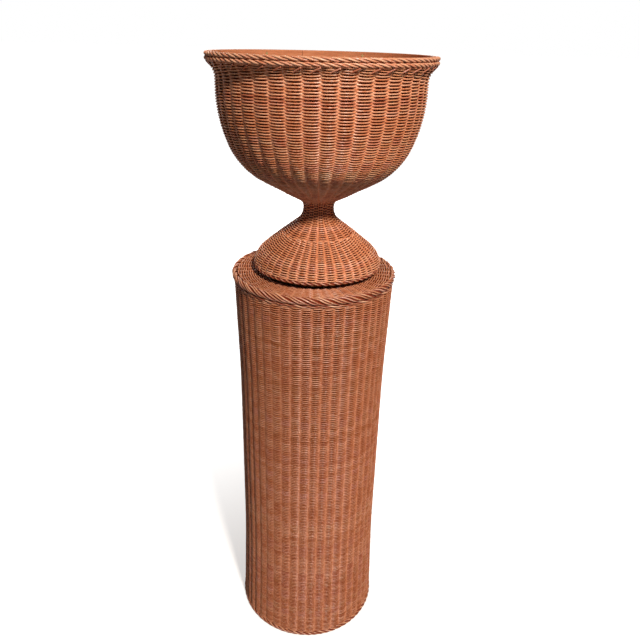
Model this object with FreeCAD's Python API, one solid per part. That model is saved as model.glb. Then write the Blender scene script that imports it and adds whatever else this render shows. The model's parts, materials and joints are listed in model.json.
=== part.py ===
# Wicker pedestal planter: a woven urn that stands loose in the top of a tall woven pedestal.
# Millimetres, +Z up, origin on the floor at the centre of the pedestal.
import FreeCAD, Part
import math
import os

V = FreeCAD.Vector
UP = V(0, 0, 1)
ORIGIN = V(0, 0, 0)

# Rattan stock
weaver_thickness = 2.3
stake_diameter = 3.2
stake_clearance = 0.3
contact_gap = 0.2
seat_gap = 0.3
cut_overrun = 5.0
shortest_run = 0.003

# Pedestal wall, outer face
wall_end_radius = 158.0
wall_waist_radius = 151.5
wall_flare_height = 205.0
wall_flare_radius = 4000.0
wall_foot_height = 10.7
wall_height = 827.5
wall_stakes = 48
wall_first_stake_share = 0.5

# Pedestal frame
frame_inner_radius = 126.5
post_diameter = 18.0
post_floor_gap = 2.0
post_count = 4
hoop_floor_flat = 1.5
middle_hoop_height = 425.0
nail_diameter = 2.4
nail_head_diameter = 5.0
nail_head_height = 1.2

# Pedestal borders and top
base_border_thickness = 10.0
base_border_overhang = 1.5
base_border_floor_gap = 0.5
wale_height = 5.0
wale_overhang = 1.2
wale_corner = 1.2
top_border_height = 16.0
top_border_width = 10.8
top_border_overhang = 4.0
top_board_thickness = 12.0
shoulder_stake_inset = 1.5
well_radius = 101.0
well_cord_thickness = 6.0

# Wood screws
screw_diameter = 4.0
screw_head_diameter = 8.0
screw_head_height = 3.0
screw_length = 40.0
screw_play = 0.1
board_screw_inset = 3.2
post_screw_count = 3
post_screw_circle_share = 0.55

# Urn, outer face of the woven wall
urn_offset_right = 6.0
foot_edge_radius = 124.7
foot_edge_height = 23.2
foot_slope_radius = 122.4
foot_slope_height = 42.3
foot_dome_radius = 48.0
foot_collar_radius = 70.0
neck_radius = 31.6
neck_bottom_height = 117.0
neck_length = 23.6
neck_foot_curve = 28.0
neck_bowl_curve = 13.0
bowl_turn_radius = 152.0
bowl_turn_height = 208.6
bowl_turn_curve = 125.0
belly_radius = 186.3
belly_height = 295.3
belly_curve = 235.0
lip_start_height = 367.0
lip_curve = 30.0
lip_radius = 198.8
lip_height = 385.1
urn_stakes_count = 42

# Urn foot and neck
foot_cord_thickness = 5.4
foot_plug_radius = 94.0
foot_plug_thickness = 12.0
foot_board_thickness = 10.0
foot_board_margin = 2.0
foot_hoop_thickness = 10.0
foot_hoop_inset = 1.2
tack_diameter = 2.0
tack_head_diameter = 4.5
tack_head_height = 1.0
tack_grip = 7.0
tack_count = 8

# Urn bowl
bowl_floor_height = 163.7
bowl_floor_thickness = 10.0

# Urn rim
rim_cord_thickness = 7.0
rim_cord_overhang = 2.7
rim_hoop_thickness = 5.2
rim_hoop_corner = 1.6
rim_joint_gap = 0.6
rim_joint_angle = 102.6
pin_diameter = 1.6
pin_grip = 4.0
pin_head_diameter = 5.0
pin_head_height = 0.8
pin_count = 6
pin_first_angle = 65.4

# Sizes that follow
weave_thickness = weaver_thickness * 2 + stake_diameter + stake_clearance
stake_depth = weave_thickness / 2
stake_radius = stake_diameter / 2
channel_radius = stake_radius + stake_clearance / 2
wall_first_angle = wall_first_stake_share * 360 / wall_stakes
post_radius = post_diameter / 2
post_circle_radius = frame_inner_radius - post_radius - contact_gap
wall_top_height = wall_foot_height + wall_height
wale_foot_height = wall_top_height + seat_gap
top_border_foot_height = wale_foot_height + wale_height + contact_gap
top_border_outer_radius = wall_end_radius + top_border_overhang
top_border_inner_radius = top_border_outer_radius - top_border_width
base_border_radius = base_border_thickness / 2
base_border_circle = wall_end_radius + base_border_overhang - base_border_radius
board_foot_height = wall_top_height
board_top_height = board_foot_height + top_board_thickness
board_radius = wall_end_radius - weave_thickness - contact_gap
shoulder_foot_height = board_top_height + contact_gap
well_cord_radius = well_cord_thickness / 2
well_cord_circle = well_radius + well_cord_radius
shoulder_inner_radius = well_cord_circle + well_cord_radius + contact_gap
shoulder_outer_radius = top_border_inner_radius - contact_gap
urn_foot_height = board_top_height + seat_gap
foot_plug_top = urn_foot_height + foot_plug_thickness
foot_board_foot = foot_plug_top + contact_gap
foot_board_top = foot_board_foot + foot_board_thickness
foot_hoop_radius = foot_hoop_thickness / 2
foot_hoop_circle = foot_edge_radius - weave_thickness - contact_gap - foot_hoop_radius - foot_hoop_inset
foot_hoop_height = foot_board_top + contact_gap + foot_hoop_radius
foot_board_radius = foot_hoop_circle + foot_board_margin
foot_cord_radius = foot_cord_thickness / 2
rim_cord_radius = rim_cord_thickness / 2
rim_cord_circle = lip_radius + rim_cord_overhang - rim_cord_radius
neck_post_radius = neck_radius - stake_depth - stake_radius - 2 * contact_gap


def profile_radii(points, radii):
    """The corner radii, made smaller where two arcs would meet on a run."""
    fitted = list(radii)
    bends = [half_turn(points, i) for i in range(1, len(points) - 1)]
    for i in range(len(points) - 1):
        before = fitted[i - 1] * math.tan(bends[i - 1]) if i > 0 else 0
        after = fitted[i] * math.tan(bends[i]) if i < len(radii) else 0
        room = math.dist(points[i], points[i + 1])
        if before + after > room:
            ease = room / (before + after)
            if i > 0:
                fitted[i - 1] *= ease
            if i < len(radii):
                fitted[i] *= ease
    return fitted


def heading(start, end):
    length = math.dist(start, end)
    return (end[0] - start[0]) / length, (end[1] - start[1]) / length


def turn_at(points, i):
    a = heading(points[i - 1], points[i])
    b = heading(points[i], points[i + 1])
    return math.atan2(a[0] * b[1] - a[1] * b[0], a[0] * b[0] + a[1] * b[1])


def half_turn(points, i):
    return abs(turn_at(points, i)) / 2


def moved_profile(points, radii, depth):
    """The same line moved to its left by a depth, with its corners still concentric."""
    last = len(points) - 1
    moved = []
    for i, point in enumerate(points):
        a = heading(points[max(i, 1) - 1], points[max(i, 1)])
        b = heading(points[min(i, last - 1)], points[min(i, last - 1) + 1])
        reach = depth / (1 + a[0] * b[0] + a[1] * b[1])
        moved.append((point[0] - (a[1] + b[1]) * reach, point[1] + (a[0] + b[0]) * reach))
    corners = []
    for i, radius in enumerate(radii, 1):
        corners.append(radius - math.copysign(depth, turn_at(points, i)))
    return moved, corners


def lengthened(points, start, end):
    """The same line with its two ends drawn out along themselves."""
    a = heading(points[1], points[0])
    b = heading(points[-2], points[-1])
    first = (points[0][0] + a[0] * start, points[0][1] + a[1] * start)
    last = (points[-1][0] + b[0] * end, points[-1][1] + b[1] * end)
    return [first] + list(points[1:-1]) + [last]


def profile_edges(points, radii):
    """Straight runs joined by tangent arcs, in the XZ plane."""
    edges = []
    here = points[0]
    for i, radius in enumerate(radii, 1):
        a = heading(points[i - 1], points[i])
        b = heading(points[i], points[i + 1])
        half = half_turn(points, i)
        back = radius * math.tan(half)
        start = (points[i][0] - a[0] * back, points[i][1] - a[1] * back)
        end = (points[i][0] + b[0] * back, points[i][1] + b[1] * back)
        inward = heading((0, 0), (b[0] - a[0], b[1] - a[1]))
        rise = radius / math.cos(half) - radius
        middle = (points[i][0] + inward[0] * rise, points[i][1] + inward[1] * rise)
        edges += straight(here, start)
        edges.append(Part.Arc(on_plane(start), on_plane(middle), on_plane(end)).toShape())
        here = end
    return edges + straight(here, points[-1])


def on_plane(point):
    return V(point[0], 0, point[1])


def straight(start, end):
    a = on_plane(start)
    b = on_plane(end)
    return [] if a.isEqual(b, shortest_run) else [Part.makeLine(a, b)]


def revolved(edges, turn=360):
    face = Part.Face(Part.Wire(Part.__sortEdges__(edges)))
    return face.revolve(ORIGIN, UP, turn)


def round_ring(circle_radius, height, section_radius):
    section = Part.Circle(V(circle_radius, 0, height), V(0, 1, 0), section_radius).toShape()
    return revolved([section])


def strip_edges(inner, outer, foot, top, corner):
    """The section of an upright strip with rounded edges, in the XZ plane."""
    middle = (foot + top) / 2
    corners = [(outer, middle), (outer, top), (inner, top), (inner, foot), (outer, foot), (outer, middle)]
    return profile_edges(corners, [corner] * (len(corners) - 2))


def disc(radius, foot, top):
    return Part.makeCylinder(radius, top - foot, V(0, 0, foot), UP)


def round_edges(ring):
    return [edge for edge in ring.Edges if len(edge.Vertexes) == 1]


def turned_copies(shape, count, first_angle=0):
    copies = []
    for i in range(count):
        copy = shape.copy()
        copy.rotate(ORIGIN, UP, first_angle + i * 360 / count)
        copies.append(copy)
    return copies


def skin_between(points, radii, outer_depth, inner_depth):
    """A turned wall between two depths inside a profile, with square ends."""
    outer = moved_profile(points, radii, outer_depth)
    inner = moved_profile(points, radii, inner_depth)
    edges = profile_edges(*outer) + profile_edges(*inner)
    edges += straight(outer[0][0], inner[0][0])
    edges += straight(outer[0][-1], inner[0][-1])
    return revolved(edges)


def rod_along(points, radii, rod_radius):
    """A round rod that follows a line of straight runs and arcs."""
    start = on_plane(points[0])
    ring = Part.Circle(start, on_plane(points[1]) - start, rod_radius).toShape()
    route = Part.Wire(profile_edges(points, radii))
    return route.makePipe(Part.Face(Part.Wire([ring])))


def woven_wall(points, radii, count, first_angle=0):
    """The weavers of a wall, which close round each of its stakes."""
    wall = skin_between(points, radii, 0, weave_thickness)
    middle, corners = moved_profile(points, radii, stake_depth)
    channel = rod_along(lengthened(middle, cut_overrun, cut_overrun), corners, channel_radius)
    return wall.cut(turned_copies(channel, count, first_angle))


def stakes_along(points, radii, count, first_angle=0):
    middle, corners = moved_profile(points, radii, stake_depth)
    rod = rod_along(lengthened(middle, -contact_gap, -contact_gap), corners, stake_radius)
    return Part.makeCompound(turned_copies(rod, count, first_angle))


# Pedestal wall
def wall_profile():
    """The outer face from the floor up, with a slim waist."""
    points = [
        (wall_end_radius, wall_foot_height),
        (wall_waist_radius, wall_foot_height + wall_flare_height),
        (wall_waist_radius, wall_top_height - wall_flare_height),
        (wall_end_radius, wall_top_height),
    ]
    return points, profile_radii(points, [wall_flare_radius, wall_flare_radius])


def wall_inner_radius(height):
    """The inside of the wall at a height near one of its ends, or at its waist."""
    points, _ = wall_profile()
    lean = (wall_end_radius - wall_waist_radius) / wall_flare_height
    from_end = min(abs(height - points[0][1]), abs(height - points[-1][1]))
    outer = max(wall_waist_radius, wall_end_radius - lean * from_end)
    return outer - weave_thickness


def make_pedestal_weave():
    points, radii = wall_profile()
    return woven_wall(points, radii, wall_stakes, wall_first_angle)


def make_pedestal_stakes():
    points, radii = wall_profile()
    return stakes_along(points, radii, wall_stakes, wall_first_angle)


# Pedestal frame: three pole hoops with four poles nailed inside them
def hoop_radius(height):
    return (wall_inner_radius(height) - contact_gap - frame_inner_radius) / 2


def hoop_heights():
    base_radius = hoop_radius(wall_foot_height)
    top_radius = hoop_radius(wall_top_height)
    return [
        base_radius - hoop_floor_flat,
        middle_hoop_height,
        board_foot_height - contact_gap - top_radius,
    ]


def make_hoop(height):
    section = hoop_radius(height)
    hoop = round_ring(frame_inner_radius + section, height, section)
    below_floor = disc(wall_end_radius, -height - cut_overrun, 0)
    return hoop.cut([below_floor] + hoop_nails(screw_play))


def hoop_nails(play=0):
    """One nail from outside each hoop to the middle of each pole."""
    nails = []
    for height in hoop_heights():
        outside = frame_inner_radius + 2 * hoop_radius(height)
        end = post_circle_radius
        head_foot = outside - nail_head_height
        shank = Part.makeCylinder(nail_diameter / 2 + play, head_foot - end, V(end, 0, height), V(1, 0, 0))
        head = Part.makeCylinder(
            nail_head_diameter / 2 + play, nail_head_height + play, V(head_foot - play, 0, height), V(1, 0, 0)
        )
        nails += turned_copies(shank.fuse(head).removeSplitter(), post_count, -90)
    return nails


def make_posts():
    """The poles, in the order front, right, back, left."""
    top = board_foot_height - contact_gap
    pole = disc(post_radius, post_floor_gap, top)
    pole.translate(V(post_circle_radius, 0, 0))
    holes = hoop_nails(screw_play) + board_screws(screw_play)
    return [post.cut(holes) for post in turned_copies(pole, post_count, -90)]


# Countersunk wood screw, with its head's top face at the given place
def wood_screw(place, direction, play=0):
    shank = screw_diameter / 2 + play
    head = screw_head_diameter / 2 + play
    neck = place + direction * screw_head_height
    cone = Part.makeCone(head, shank, screw_head_height, place, direction)
    rod = Part.makeCylinder(shank, screw_length - screw_head_height + play, neck, direction)
    return cone.fuse(rod).removeSplitter()


# Pedestal top: a board on the top hoop, a woven shoulder on it and a well for the urn's foot
def board_screws(play=0):
    top = V(post_circle_radius - board_screw_inset, 0, board_top_height)
    return turned_copies(wood_screw(top, -UP, play), post_count, -90)


def make_top_board():
    return disc(board_radius, board_foot_height, board_top_height).cut(board_screws(screw_play))


def shoulder_rod(rod_radius, inner, outer):
    height = shoulder_foot_height + stake_depth
    return Part.makeCylinder(rod_radius, outer - inner, V(inner, 0, height), V(1, 0, 0))


def make_shoulder_weave():
    top = shoulder_foot_height + weave_thickness
    ring = disc(shoulder_outer_radius, shoulder_foot_height, top)
    ring = ring.cut(disc(shoulder_inner_radius, shoulder_foot_height - cut_overrun, top + cut_overrun))
    inner = shoulder_inner_radius - cut_overrun
    outer = shoulder_outer_radius + cut_overrun
    channel = shoulder_rod(channel_radius, inner, outer)
    return ring.cut(turned_copies(channel, wall_stakes, wall_first_angle))


def make_shoulder_stakes():
    inner = shoulder_inner_radius + shoulder_stake_inset
    outer = shoulder_outer_radius - shoulder_stake_inset
    rod = shoulder_rod(stake_radius, inner, outer)
    return Part.makeCompound(turned_copies(rod, wall_stakes, wall_first_angle))


def make_well_cord():
    return round_ring(well_cord_circle, shoulder_foot_height + well_cord_radius, well_cord_radius)


def make_top_border():
    foot = top_border_foot_height
    top = foot + top_border_height
    corner = top_border_width / 2
    return revolved(strip_edges(top_border_inner_radius, top_border_outer_radius, foot, top, corner))


def make_top_wale():
    outer = wall_end_radius + wale_overhang
    inner = wall_end_radius - weave_thickness
    top = wale_foot_height + wale_height
    hole = disc(inner, wale_foot_height - cut_overrun, top + cut_overrun)
    ring = disc(outer, wale_foot_height, top).cut(hole)
    return ring.makeFillet(wale_corner, round_edges(ring))


def make_base_border():
    height = base_border_floor_gap + base_border_radius
    return round_ring(base_border_circle, height, base_border_radius)


# Urn profile, from the foot's edge up through the neck to the lip
def urn_corners():
    points = [
        (foot_edge_radius, foot_edge_height),
        (foot_slope_radius, foot_slope_height),
        (neck_radius, neck_bottom_height),
        (neck_radius, neck_bottom_height + neck_length),
        (bowl_turn_radius, bowl_turn_height),
        (belly_radius, belly_height),
        (belly_radius, lip_start_height),
        (lip_radius, lip_height),
    ]
    points = [(radius, urn_foot_height + height) for radius, height in points]
    curves = [foot_dome_radius, neck_foot_curve, neck_bowl_curve, bowl_turn_curve, belly_curve, lip_curve]
    return points, profile_radii(points, curves)


def arc_end(points, radii, i, towards):
    """Where the arc of corner i meets the run to a neighbouring corner."""
    way = heading(points[i], points[towards])
    back = radii[i - 1] * math.tan(half_turn(points, i))
    return points[i][0] + way[0] * back, points[i][1] + way[1] * back


def urn_parts():
    """The profiles of foot, collar, neck and bowl, which meet square to the wall."""
    points, radii = urn_corners()
    below = arc_end(points, radii, 2, 1)
    above = arc_end(points, radii, 3, 4)
    slope = (below[1] - points[1][1]) / (below[0] - points[1][0])
    ring = foot_collar_radius, below[1] + slope * (foot_collar_radius - below[0])
    foot = points[:2] + [ring], radii[:1]
    collar = [ring, below], []
    neck = [below] + points[2:4] + [above], radii[1:3]
    bowl = [above] + points[4:], radii[3:]
    return foot, collar, neck, bowl


def make_foot_weave():
    points, radii = urn_parts()[0]
    return woven_wall(points, radii, urn_stakes_count)


def make_foot_collar():
    """The upper rounds of the foot, woven over the stakes two by two."""
    points, radii = urn_parts()[1]
    return woven_wall(points, radii, urn_stakes_count)


def make_neck_binding():
    points, radii = urn_parts()[2]
    return skin_between(points, radii, 0, weaver_thickness)


def above_lip():
    """What is trimmed off level with the lip, under the rim."""
    lip = urn_foot_height + lip_height
    return disc(lip_radius + cut_overrun, lip, lip + weave_thickness)


def make_bowl_weave():
    points, radii = urn_parts()[3]
    return woven_wall(points, radii, urn_stakes_count).cut(above_lip())


def make_urn_stakes():
    points, radii = urn_corners()
    rods = stakes_along(points, radii, urn_stakes_count)
    return Part.makeCompound([rod.cut(above_lip()) for rod in rods.Solids])


# Urn foot: a plug that stands in the well, a board on it, and a hoop inside the woven edge
def make_foot_plug():
    return disc(foot_plug_radius, urn_foot_height, foot_plug_top).cut(foot_screws(screw_play))


def make_foot_board():
    board = disc(foot_board_radius, foot_board_foot, foot_board_top)
    return board.cut(foot_screws(screw_play) + foot_tacks(screw_play))


def make_foot_hoop():
    hoop = round_ring(foot_hoop_circle, foot_hoop_height, foot_hoop_radius)
    return hoop.cut(foot_tacks(screw_play))


def foot_tacks(play=0):
    """Tacks down through the hoop into the board."""
    top = foot_hoop_height + foot_hoop_radius
    foot = foot_board_top - tack_grip
    shank = Part.makeCylinder(tack_diameter / 2 + play, top - foot, V(foot_hoop_circle, 0, foot), UP)
    head_foot = V(foot_hoop_circle, 0, top - tack_head_height - play)
    head = Part.makeCylinder(tack_head_diameter / 2 + play, tack_head_height + play, head_foot, UP)
    return turned_copies(shank.fuse(head).removeSplitter(), tack_count)


def make_foot_cord():
    circle = foot_edge_radius - foot_cord_radius
    height = urn_foot_height + foot_edge_height - contact_gap - foot_cord_radius
    return round_ring(circle, height, foot_cord_radius)


# Neck post: carries the bowl's floor on the foot's board, and its screws hold the plug too
def post_screw_circle():
    return neck_post_radius * post_screw_circle_share


def foot_screws(play=0):
    place = V(post_screw_circle(), 0, urn_foot_height)
    return turned_copies(wood_screw(place, UP, play), post_screw_count)


def floor_top():
    return urn_foot_height + bowl_floor_height + bowl_floor_thickness


def floor_screws(play=0):
    place = V(post_screw_circle(), 0, floor_top())
    return turned_copies(wood_screw(place, -UP, play), post_screw_count)


def make_neck_post():
    top = urn_foot_height + bowl_floor_height - contact_gap
    post = disc(neck_post_radius, foot_board_top + contact_gap, top)
    return post.cut(foot_screws(screw_play) + floor_screws(screw_play))


def make_bowl_floor():
    """A disc whose edge is cut to the slope of the woven wall that it lies in."""
    points, radii = urn_parts()[3]
    blank = disc(belly_radius, urn_foot_height + bowl_floor_height, floor_top())
    face, corners = moved_profile(points, radii, weave_thickness + contact_gap)
    start = (0, face[0][1])
    end = (0, face[-1][1])
    edges = profile_edges(face, corners) + straight(start, face[0])
    edges += straight(end, face[-1]) + straight(start, end)
    return blank.common(revolved(edges)).cut(floor_screws(screw_play))


# Urn rim: a flat hoop with a butt joint inside, and two twisted cords outside
def rim_foot():
    return urn_foot_height + lip_height + contact_gap


def rim_top():
    return rim_foot() + 2 * rim_cord_thickness + contact_gap


def make_lower_cord():
    return round_ring(rim_cord_circle, rim_foot() + rim_cord_radius, rim_cord_radius)


def make_upper_cord():
    return round_ring(rim_cord_circle, rim_top() - rim_cord_radius, rim_cord_radius)


def rim_hoop_outer():
    return rim_cord_circle - rim_cord_radius - contact_gap


def make_rim_hoop():
    """A bent strip with rounded edges, whose two ends almost meet."""
    outer = rim_hoop_outer()
    inner = outer - rim_hoop_thickness
    edges = strip_edges(inner, outer, rim_foot(), rim_top(), rim_hoop_corner)
    strip = revolved(edges, 360 - math.degrees(rim_joint_gap / outer))
    strip.rotate(ORIGIN, UP, rim_joint_angle)
    return strip.cut(rim_pins(screw_play))


def rim_pins(play=0):
    """Pins from inside the rim through the hoop, with flat heads."""
    height = (rim_foot() + rim_top()) / 2
    inner = rim_hoop_outer() - rim_hoop_thickness
    head = Part.makeCylinder(
        pin_head_diameter / 2 + play, pin_head_height, V(inner - pin_head_height / 2, 0, height), V(1, 0, 0)
    )
    shank = Part.makeCylinder(pin_diameter / 2 + play, pin_grip, V(inner, 0, height), V(1, 0, 0))
    return turned_copies(head.fuse(shank).removeSplitter(), pin_count, pin_first_angle)


def write(name, shape, offset=0):
    placed = shape.copy()
    placed.translate(V(offset, 0, 0))
    placed.exportStep("parts/" + name + ".step")
    print(name, len(placed.Solids), "solids", round(placed.Volume / 1000, 1), "cm3", placed.isValid())


def main():
    os.makedirs("parts", exist_ok=True)
    hoops = hoop_heights()
    write("base_hoop", make_hoop(hoops[0]))
    write("middle_hoop", make_hoop(hoops[1]))
    write("top_hoop", make_hoop(hoops[2]))
    for side, post in zip(["front", "right", "back", "left"], make_posts()):
        write("frame_post_" + side, post)
    write("hoop_nails", Part.makeCompound(hoop_nails()))
    write("pedestal_stakes", make_pedestal_stakes())
    write("pedestal_weave", make_pedestal_weave())
    write("base_border", make_base_border())
    write("top_wale", make_top_wale())
    write("top_border", make_top_border())
    write("top_board", make_top_board())
    write("board_screws", Part.makeCompound(board_screws()))
    write("shoulder_stakes", make_shoulder_stakes())
    write("shoulder_weave", make_shoulder_weave())
    write("well_edge_cord", make_well_cord())
    urn = {
        "foot_plug": make_foot_plug(),
        "foot_board": make_foot_board(),
        "foot_screws": Part.makeCompound(foot_screws()),
        "foot_hoop": make_foot_hoop(),
        "foot_tacks": Part.makeCompound(foot_tacks()),
        "foot_edge_cord": make_foot_cord(),
        "foot_weave": make_foot_weave(),
        "foot_collar": make_foot_collar(),
        "neck_post": make_neck_post(),
        "neck_binding": make_neck_binding(),
        "urn_stakes": make_urn_stakes(),
        "bowl_floor": make_bowl_floor(),
        "floor_screws": Part.makeCompound(floor_screws()),
        "bowl_weave": make_bowl_weave(),
        "rim_lower_cord": make_lower_cord(),
        "rim_upper_cord": make_upper_cord(),
        "rim_hoop": make_rim_hoop(),
        "rim_pins": Part.makeCompound(rim_pins()),
    }
    for name, shape in urn.items():
        write(name, shape, urn_offset_right)
    print("height", round(rim_top(), 2), "urn foot", round(urn_foot_height, 2))


main()
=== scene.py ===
import json
import math
import bpy
import numpy as np
from mathutils import Matrix


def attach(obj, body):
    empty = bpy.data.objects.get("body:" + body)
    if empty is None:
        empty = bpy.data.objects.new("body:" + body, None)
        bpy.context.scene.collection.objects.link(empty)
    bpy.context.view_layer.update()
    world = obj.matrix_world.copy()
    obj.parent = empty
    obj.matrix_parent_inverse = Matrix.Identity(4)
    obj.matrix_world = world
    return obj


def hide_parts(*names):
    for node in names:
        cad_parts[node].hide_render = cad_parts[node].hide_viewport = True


# Wicker pedestal planter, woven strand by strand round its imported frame. Metres.
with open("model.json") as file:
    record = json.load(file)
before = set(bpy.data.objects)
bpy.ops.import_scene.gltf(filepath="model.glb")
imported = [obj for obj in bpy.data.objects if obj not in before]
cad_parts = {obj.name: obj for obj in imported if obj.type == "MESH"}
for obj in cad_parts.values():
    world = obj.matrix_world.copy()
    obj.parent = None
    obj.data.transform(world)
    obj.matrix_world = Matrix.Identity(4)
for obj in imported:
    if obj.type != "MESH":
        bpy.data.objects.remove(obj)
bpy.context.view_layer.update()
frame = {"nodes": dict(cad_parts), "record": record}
print("frame loaded")

stock = {
    "reedTall": 0.00245,      # a weaver, up and down the wall, where it crosses its neighbours
    "backSwell": 1.15,        # how much it spreads where it lies behind a stake
    "backReach": 3.0,         # how soon that spread is full, on the way round the stake
    "hollowSpread": 1.3,      # how much it spreads at the back of a hollow curve
    "reedDeep": 0.00225,      # the same weaver, through the wall
    "wallDepth": 0.0081,      # from the face of the weave to its back
    "sides": 6,               # faces round a weaver
    "samplesPerStake": 5,
    "reedLength": 2.9,        # how far one length of reed goes before the next
    "lotRange": (0.6, 1.4),   # the shortest and longest such length, as shares of it
    "pieceFaces": 190000,     # triangles in one piece of a weave, at most
}
# how unevenly a weaver lies: how many knots of drift there are in a turn, and how large they are
drift = {
    "climbKnots": 9,
    "reachKnots": 13,
    "reachSize": 0.07,
    "depthKnots": 5,
    "toneKnots": 6,
    "toneSize": 0.10,
    "thickKnots": 4,
    "thickSize": 0.05,
}
profileDetail = {"arcPoints": 25, "samples": 1200, "shortest": 1e-7}
urnOffset = 0.006             # the urn's axis stands this far to the right of the pedestal's


# Small tools for lines and strands

def unit(vectors):
    return vectors / np.linalg.norm(vectors, axis=-1, keepdims=True)


def wander(count, knotEvery, size, rng):
    # smooth random drift, with a knot every so many samples
    knots = rng.uniform(-size, size, int(count // knotEvery) + 3)
    place = np.arange(count) / knotEvery
    low = place.astype(int)
    part = place - low
    part = part * part * (3 - 2 * part)
    return knots[low] * (1 - part) + knots[low + 1] * part


def reedLots(distance, lotLength, rng):
    # a tone and a hue for each length of reed along a strand
    total = float(distance[-1])
    shortest, longest = stock["lotRange"]
    ends = np.cumsum(rng.uniform(shortest, longest, int(total / lotLength / shortest) + 2) * lotLength)
    lot = np.searchsorted(ends, distance)
    tones = rng.random(len(ends) + 1)
    hues = rng.random(len(ends) + 1)
    return tones[lot], hues[lot]


def roundedProfile(corners, radii):
    # a line of (radius, height) corners, joined by arcs, with its outward normals
    pts = [np.array(c, float) for c in corners]
    line = [pts[0]]
    for i, radius in enumerate(radii, 1):
        a = unit(pts[i] - pts[i - 1])
        b = unit(pts[i + 1] - pts[i])
        turn = math.atan2(a[0] * b[1] - a[1] * b[0], a[0] * b[0] + a[1] * b[1])
        start = pts[i] - a * radius * math.tan(abs(turn) / 2)
        side = np.array([-a[1], a[0]]) * math.copysign(radius, turn)
        centre = start + side
        for t in np.linspace(0, turn, profileDetail["arcPoints"]):
            c, s = math.cos(t), math.sin(t)
            spoke = -side
            line.append(centre + np.array([c * spoke[0] - s * spoke[1], s * spoke[0] + c * spoke[1]]))
    line.append(pts[-1])
    line = np.array(line)
    steps = np.hypot(*np.diff(line, axis=0).T)
    keep = np.concatenate([[True], steps > profileDetail["shortest"]])
    line = line[keep]
    reach = np.concatenate([[0], np.cumsum(np.hypot(*np.diff(line, axis=0).T))])
    even = np.linspace(0, reach[-1], profileDetail["samples"])
    r = np.interp(even, reach, line[:, 0])
    z = np.interp(even, reach, line[:, 1])
    ahead = unit(np.stack([np.gradient(r), np.gradient(z)], 1))
    nr, nz = ahead[:, 1], -ahead[:, 0]
    bend = nr * np.gradient(nz, even) - nz * np.gradient(nr, even)
    return {"s": even, "r": r, "z": z, "nr": nr, "nz": nz, "bend": bend, "length": reach[-1]}


profileKeys = ("r", "z", "nr", "nz", "bend")


def cutProfile(profile, start, end):
    # the part of a profile between two distances along it
    inside = (profile["s"] >= start) & (profile["s"] <= end)
    cut = {key: profile[key][inside] for key in ("s", *profileKeys)}
    cut["s"] = cut["s"] - cut["s"][0]
    cut["length"] = float(cut["s"][-1])
    return cut


def atProfile(profile, s):
    # radius, height, normal and bend at distances along a profile
    return [np.interp(s, profile["s"], profile[key]) for key in profileKeys]


def aroundAxis(r, z, angle, axisX):
    return np.stack([axisX + r * np.cos(angle), r * np.sin(angle), z], 1)


def newBundle():
    return {"points": [], "quads": [], "fibre": [], "look": [], "count": 0, "faces": 0}


def addStrand(bundle, centres, outward, wide, tall, tone, hue, sunk, sides=stock["sides"], closed=False):
    # a round or flat strand swept along its centres; wide lies outward, tall across it
    count = len(centres)
    if closed:
        ahead = np.roll(centres, -1, 0) - np.roll(centres, 1, 0)
    else:
        ahead = np.gradient(centres, axis=0)
    ahead = unit(ahead)
    outward = unit(outward - ahead * np.sum(outward * ahead, 1, keepdims=True))
    across = np.cross(ahead, outward)
    turn = 2 * np.pi * np.arange(sides) / sides
    c, s = np.cos(turn)[None, :, None], np.sin(turn)[None, :, None]
    wide = np.broadcast_to(wide, count)[:, None, None] / 2
    tall = np.broadcast_to(tall, count)[:, None, None] / 2
    rings = centres[:, None] + outward[:, None] * c * wide + across[:, None] * s * tall
    base = bundle["count"]
    i = np.arange(count if closed else count - 1)
    j = np.arange(sides)
    here = base + i[:, None] * sides + j[None, :]
    beside = base + i[:, None] * sides + (j[None, :] + 1) % sides
    step = base + ((i + 1) % count)[:, None] * sides
    quads = np.stack([here, beside, step + (j[None, :] + 1) % sides, step + j[None, :]], 2).reshape(-1, 4)
    if not closed:
        last = base + (count - 1) * sides
        fans = [(0, k, k + 1, k + 2) for k in range(1, sides - 1, 2)]
        caps = [[base + k for k in fan[::-1]] for fan in fans] + [[last + k for k in fan] for fan in fans]
        quads = np.concatenate([quads, np.array(caps)])
    along = np.concatenate([[0], np.cumsum(np.linalg.norm(np.diff(centres, axis=0), axis=1))])
    ones = np.ones((count, sides))
    fibre = np.stack([along[:, None] * ones, ones * c[:, :, 0], ones * s[:, :, 0]], 2)
    look = [np.broadcast_to(v, count)[:, None] * ones for v in (tone, hue, sunk)]
    bundle["points"].append(rings.reshape(-1, 3))
    bundle["quads"].append(quads)
    bundle["fibre"].append(fibre.reshape(-1, 3))
    bundle["look"].append(np.stack(look, 2).reshape(-1, 3))
    bundle["count"] += count * sides
    bundle["faces"] += 2 * len(quads)


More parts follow.
